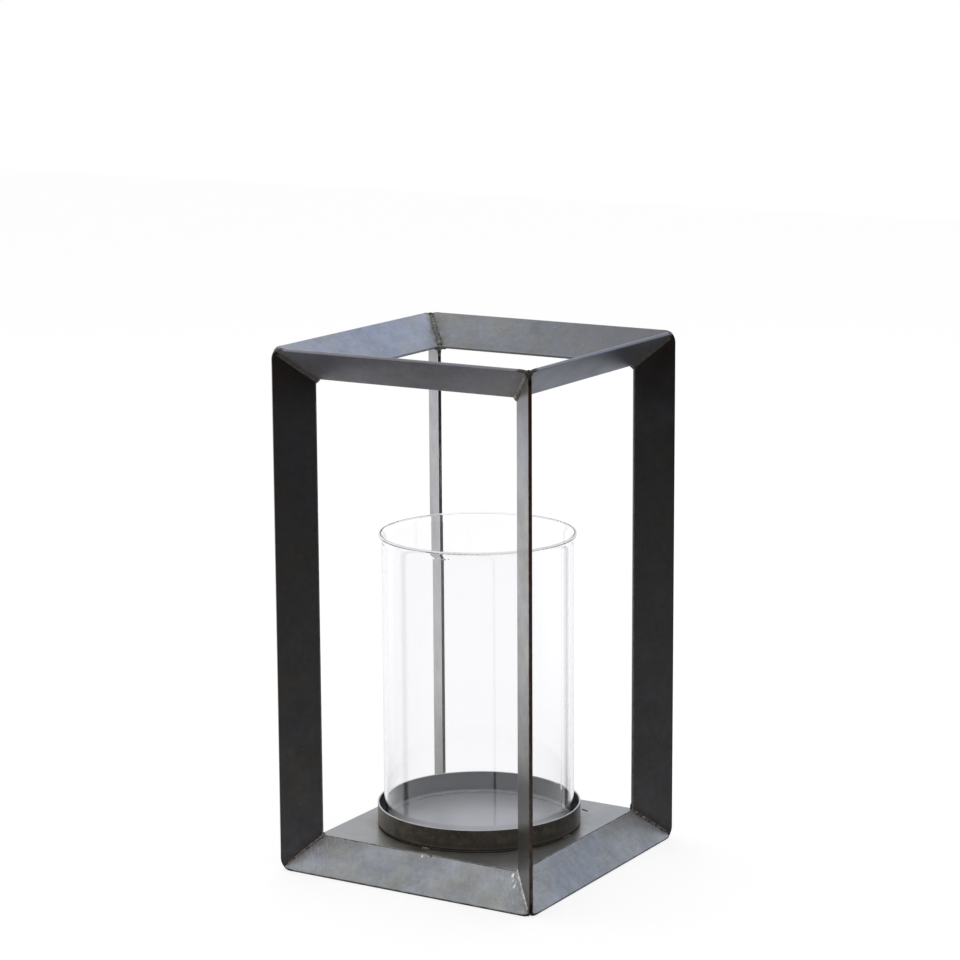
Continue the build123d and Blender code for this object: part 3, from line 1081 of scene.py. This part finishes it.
def glass_rim_highlight(material):
    """Two bands round the outside of the lip, under its curl and up to just below its top, milky as a
    painted highlight on the lip. The widest line between them is left clear."""
    bm = bmesh.new()
    middle = Vector((GLASS_HIGH.x - GLASS_WALL / 2, 0, GLASS_HIGH.z - GLASS_WALL / 2))
    for low, high in RIM_BANDS:
        start = bm.verts.new(middle + RIM_BAND_RADIUS * Vector((cos(low), 0, sin(low))))
        steps = round((high - low) / RIM_BAND_STEP)
        bmesh.ops.spin(bm, geom=[start], cent=middle, axis=(0, -1, 0), angle=high - low, steps=steps)
    add_glass_band("glass_rim_highlight", bm, material)


def glass_foot_highlight(material):
    """The band inside the wall at the foot, where the cut edge was ground flat: milky, and a painted
    highlight on the glass's bottom edge.
    """
    bm = bmesh.new()
    middle = GLASS_RADIUS - GLASS_WALL / 2
    ends = [bm.verts.new((middle, 0, GLASS_LOW.z + up)) for up in (FOOT_BAND_FROM, FOOT_BAND_TO)]
    bm.edges.new(ends)
    add_glass_band("glass_foot_highlight", bm, material)


# Stage


def seen_plainly(tree):
    """1 for what lights plain surfaces or is seen directly or by way of the glass, 0 for what
    the metal mirrors."""
    path = add_node(tree, "LightPath").outputs
    unmirrored = add_node(tree, "Math", {0: path["Glossy Depth"], 1: 0.5}, operation="LESS_THAN")
    one_wall = add_node(tree, "Math", {0: path["Transmission Depth"], 1: 2.5}, operation="LESS_THAN")
    trapped = add_node(tree, "Math", {0: path["Glossy Depth"], 1: 1.5}, operation="GREATER_THAN")
    once = add_node(tree, "Math", {0: unmirrored, 1: one_wall}, operation="MAXIMUM")
    clear = add_node(tree, "Math", {0: once, 1: trapped}, operation="MAXIMUM")
    through = add_node(tree, "Math", {0: path["Is Transmission Ray"], 1: clear}, operation="MULTIPLY")
    in_glass = add_node(
        tree, "Math", {0: path["Is Singular Ray"], 1: path["Is Reflection Ray"]}, operation="MULTIPLY"
    )
    faint = add_node(tree, "Math", {0: in_glass, 1: 0.7}, operation="MULTIPLY")
    by_glass = add_node(tree, "Math", {0: through, 1: faint}, operation="MAXIMUM")
    direct = add_node(
        tree, "Math", {0: path["Is Camera Ray"], 1: path["Is Diffuse Ray"]}, operation="MAXIMUM"
    )
    return add_node(tree, "Math", {0: direct, 1: by_glass}, operation="MAXIMUM")


def studio_world():
    """A white room: bright above and on the bright side, dim on the side the camera stands on."""
    world = bpy.data.worlds.new("white_studio")
    world.use_nodes = True
    tree = world.node_tree
    tree.nodes.clear()
    direction = add_node(tree, "TexCoord").outputs["Generated"]
    towards_bright = add_node(
        tree, "VectorMath", {0: direction, 1: BRIGHT_SIDE}, operation="DOT_PRODUCT"
    ).outputs["Value"]
    sideways = add_node(
        tree,
        "MapRange",
        {"Value": towards_bright, "From Min": -0.6, "From Max": 0.35, "To Min": 0.02, "To Max": 1.05},
        interpolation_type="SMOOTHSTEP",
    )
    height = add_node(tree, "SeparateXYZ", {0: direction}).outputs["Z"]
    upwards = add_node(
        tree,
        "MapRange",
        {"Value": height, "From Min": 0.05, "From Max": 0.65, "To Min": 0.03, "To Max": 1.08},
        interpolation_type="SMOOTHSTEP",
    )
    level = add_node(tree, "Math", {0: sideways, 1: upwards}, operation="MAXIMUM")
    plain = seen_plainly(tree)
    strength = add_node(tree, "Mix", {"Factor": plain, "A": level, "B": 1.0}, data_type="FLOAT")
    pale = add_node(
        tree,
        "Mix",
        {"Factor": upwards, "A": linear("#FFFFFF"), "B": linear("#F3F7FF")},
        data_type="RGBA",
    )
    towards_cool = add_node(
        tree, "VectorMath", {0: direction, 1: COOL_SIDE}, operation="DOT_PRODUCT"
    ).outputs["Value"]
    coolness = add_node(
        tree,
        "MapRange",
        {"Value": towards_cool, "From Min": 0.45, "From Max": 0.9},
        interpolation_type="SMOOTHSTEP",
    )
    cool = add_node(
        tree, "Mix", {"Factor": coolness, "A": pale, "B": linear("#DEEAFF")}, data_type="RGBA"
    )
    tint = add_node(
        tree, "Mix", {"Factor": plain, "A": cool, "B": linear("#FFFFFF")}, data_type="RGBA"
    )
    background = add_node(tree, "Background", {"Color": tint, "Strength": strength})
    add_node(tree, "OutputWorld", {"Surface": background})
    bpy.context.scene.world = world


def studio_floor():
    """A pale floor: white to the camera but for the lantern's soft shadow, greyer in reflections."""
    material, tree = new_material("pale_floor")
    place = add_node(tree, "TexCoord").outputs["Object"]
    towards_bright = add_node(
        tree, "VectorMath", {0: place, 1: BRIGHT_SIDE}, operation="DOT_PRODUCT"
    ).outputs["Value"]
    dim = add_node(
        tree,
        "MapRange",
        {"Value": towards_bright, "From Min": -1.9, "From Max": 0.1, "To Min": 0.022, "To Max": 0.16},
        interpolation_type="SMOOTHSTEP",
    )
    bright = add_node(
        tree,
        "MapRange",
        {"Value": towards_bright, "From Min": -0.1, "From Max": 0.62, "To Min": 0.0, "To Max": 1.0},
        interpolation_type="SMOOTHSTEP",
    )
    level = add_node(tree, "Math", {0: dim, 1: bright}, operation="ADD")
    towards_back = add_node(tree, "SeparateXYZ", {0: place}).outputs["Y"]
    behind = add_node(tree, "MapRange", {"Value": towards_back, "From Max": 0.6})
    tint = add_node(
        tree,
        "Mix",
        {"Factor": behind, "A": linear("#FFFFFF"), "B": linear("#F0F4FF")},
        data_type="RGBA",
    )
    mirrored = add_node(tree, "Emission", {"Color": tint, "Strength": level})
    lit = add_node(tree, "BsdfDiffuse", {"Color": linear("#808080")})
    glow = add_node(tree, "Emission", {"Color": linear("#FFFFFF"), "Strength": 0.77})
    white = add_node(tree, "AddShader", {0: lit, 1: glow})
    surface = add_node(tree, "MixShader", {0: seen_plainly(tree), 1: mirrored, 2: white})
    add_node(tree, "OutputMaterial", {"Surface": surface})
    bm = bmesh.new()
    bmesh.ops.create_grid(bm, x_segments=1, y_segments=1, size=FLOOR_SIZE / 2)
    bmesh.ops.translate(bm, vec=(0, 0, -FLOOR_DROP), verts=bm.verts)
    mesh = bpy.data.meshes.new("floor")
    bm.to_mesh(mesh)
    bm.free()
    mesh.materials.append(material)
    floor = bpy.data.objects.new("floor", mesh)
    bpy.context.scene.collection.objects.link(floor)


def studio_lamp():
    """One broad soft lamp above the bright side, which throws the shadow on the floor."""
    data = bpy.data.lights.new("softbox", "AREA")
    data.shape = "RECTANGLE"
    data.size = LAMP_SIZE
    data.size_y = LAMP_SIZE
    data.energy = LAMP_POWER
    lamp = bpy.data.objects.new("softbox", data)
    lamp.location = LAMP_PLACE
    lamp.rotation_euler = (LAMP_AIM - LAMP_PLACE).to_track_quat("-Z", "Y").to_euler()
    lamp.visible_glossy = False
    lamp.visible_transmission = False
    bpy.context.scene.collection.objects.link(lamp)


def photo_camera():
    """The camera, where the photograph was taken from."""
    data = bpy.data.cameras.new("camera")
    data.lens = CAMERA_LENS
    data.sensor_width = SENSOR_WIDTH
    camera = bpy.data.objects.new("camera", data)
    turn = Matrix.Rotation(CAMERA_AZIMUTH, 4, "Z") @ Matrix.Rotation(pi / 2 - CAMERA_TILT, 4, "X")
    camera.matrix_world = Matrix.Translation(CAMERA_PLACE) @ turn @ Matrix.Rotation(CAMERA_ROLL, 4, "Z")
    bpy.context.scene.collection.objects.link(camera)
    bpy.context.scene.camera = camera


def paint(node, material):
    """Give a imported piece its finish."""
    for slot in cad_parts[node].material_slots:
        slot.material = material


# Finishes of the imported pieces
for node, (axis, thick, thin) in BARS.items():
    kind = node.split("_")[0]
    paint(node, flat_bar_steel(f"hot_rolled_{node}", AXES[axis], thick, thin, **BAR_KINDS[kind]))
weld_steels = {
    finish: weld_steel(f"{finish}_weld_steel", **metal) for finish, metal in WELD_METALS.items()
}
rough_weld = weld_steels["rough"]
paint("plate_stitch_welds", rough_weld)
paint("base_plate", base_sheet_steel())
paint("candle_pan", pan_steel())
paint("glass_chimney", clear_glass())

# Welds in place of the plain ones, and what the welding left behind. The noise is seeded, so that
# their lumps are the same each time.
noise.seed_set(WELD_NOISE_SEED)
weld_places = [(level, corner) for level in LEVELS for corner in CORNERS]
for number, (level, corner) in enumerate(weld_places):
    finish = FINISH_OF_WELD.get(f"{level}_{corner}", "rough")
    corner_weld(level, corner, weld_steels[finish], number, **WELD_SHAPES[finish])
pan_tacks(rough_weld)
# Painted highlights: the bright drops are near white and hardly metallic
highlight_drops = weld_steel(
    "weld_spatter_painted_highlight", dark="#D8DADB", light="#F4F5F6", metallic=0.1, flecks=1.0
)
rail_spatter("spatter_painted_highlight", HIGHLIGHT_SPATTER, highlight_drops, seed=30)
rail_spatter("dark_spatter", DARK_SPATTER, rough_weld, seed=40)
wire_stub(rough_weld)
band_highlight_glass = milky_highlight_glass_material()
glass_rim_highlight(band_highlight_glass)
glass_foot_highlight(band_highlight_glass)

studio_world()
studio_floor()
studio_lamp()
photo_camera()
bpy.context.scene.view_settings.view_transform = "Standard"
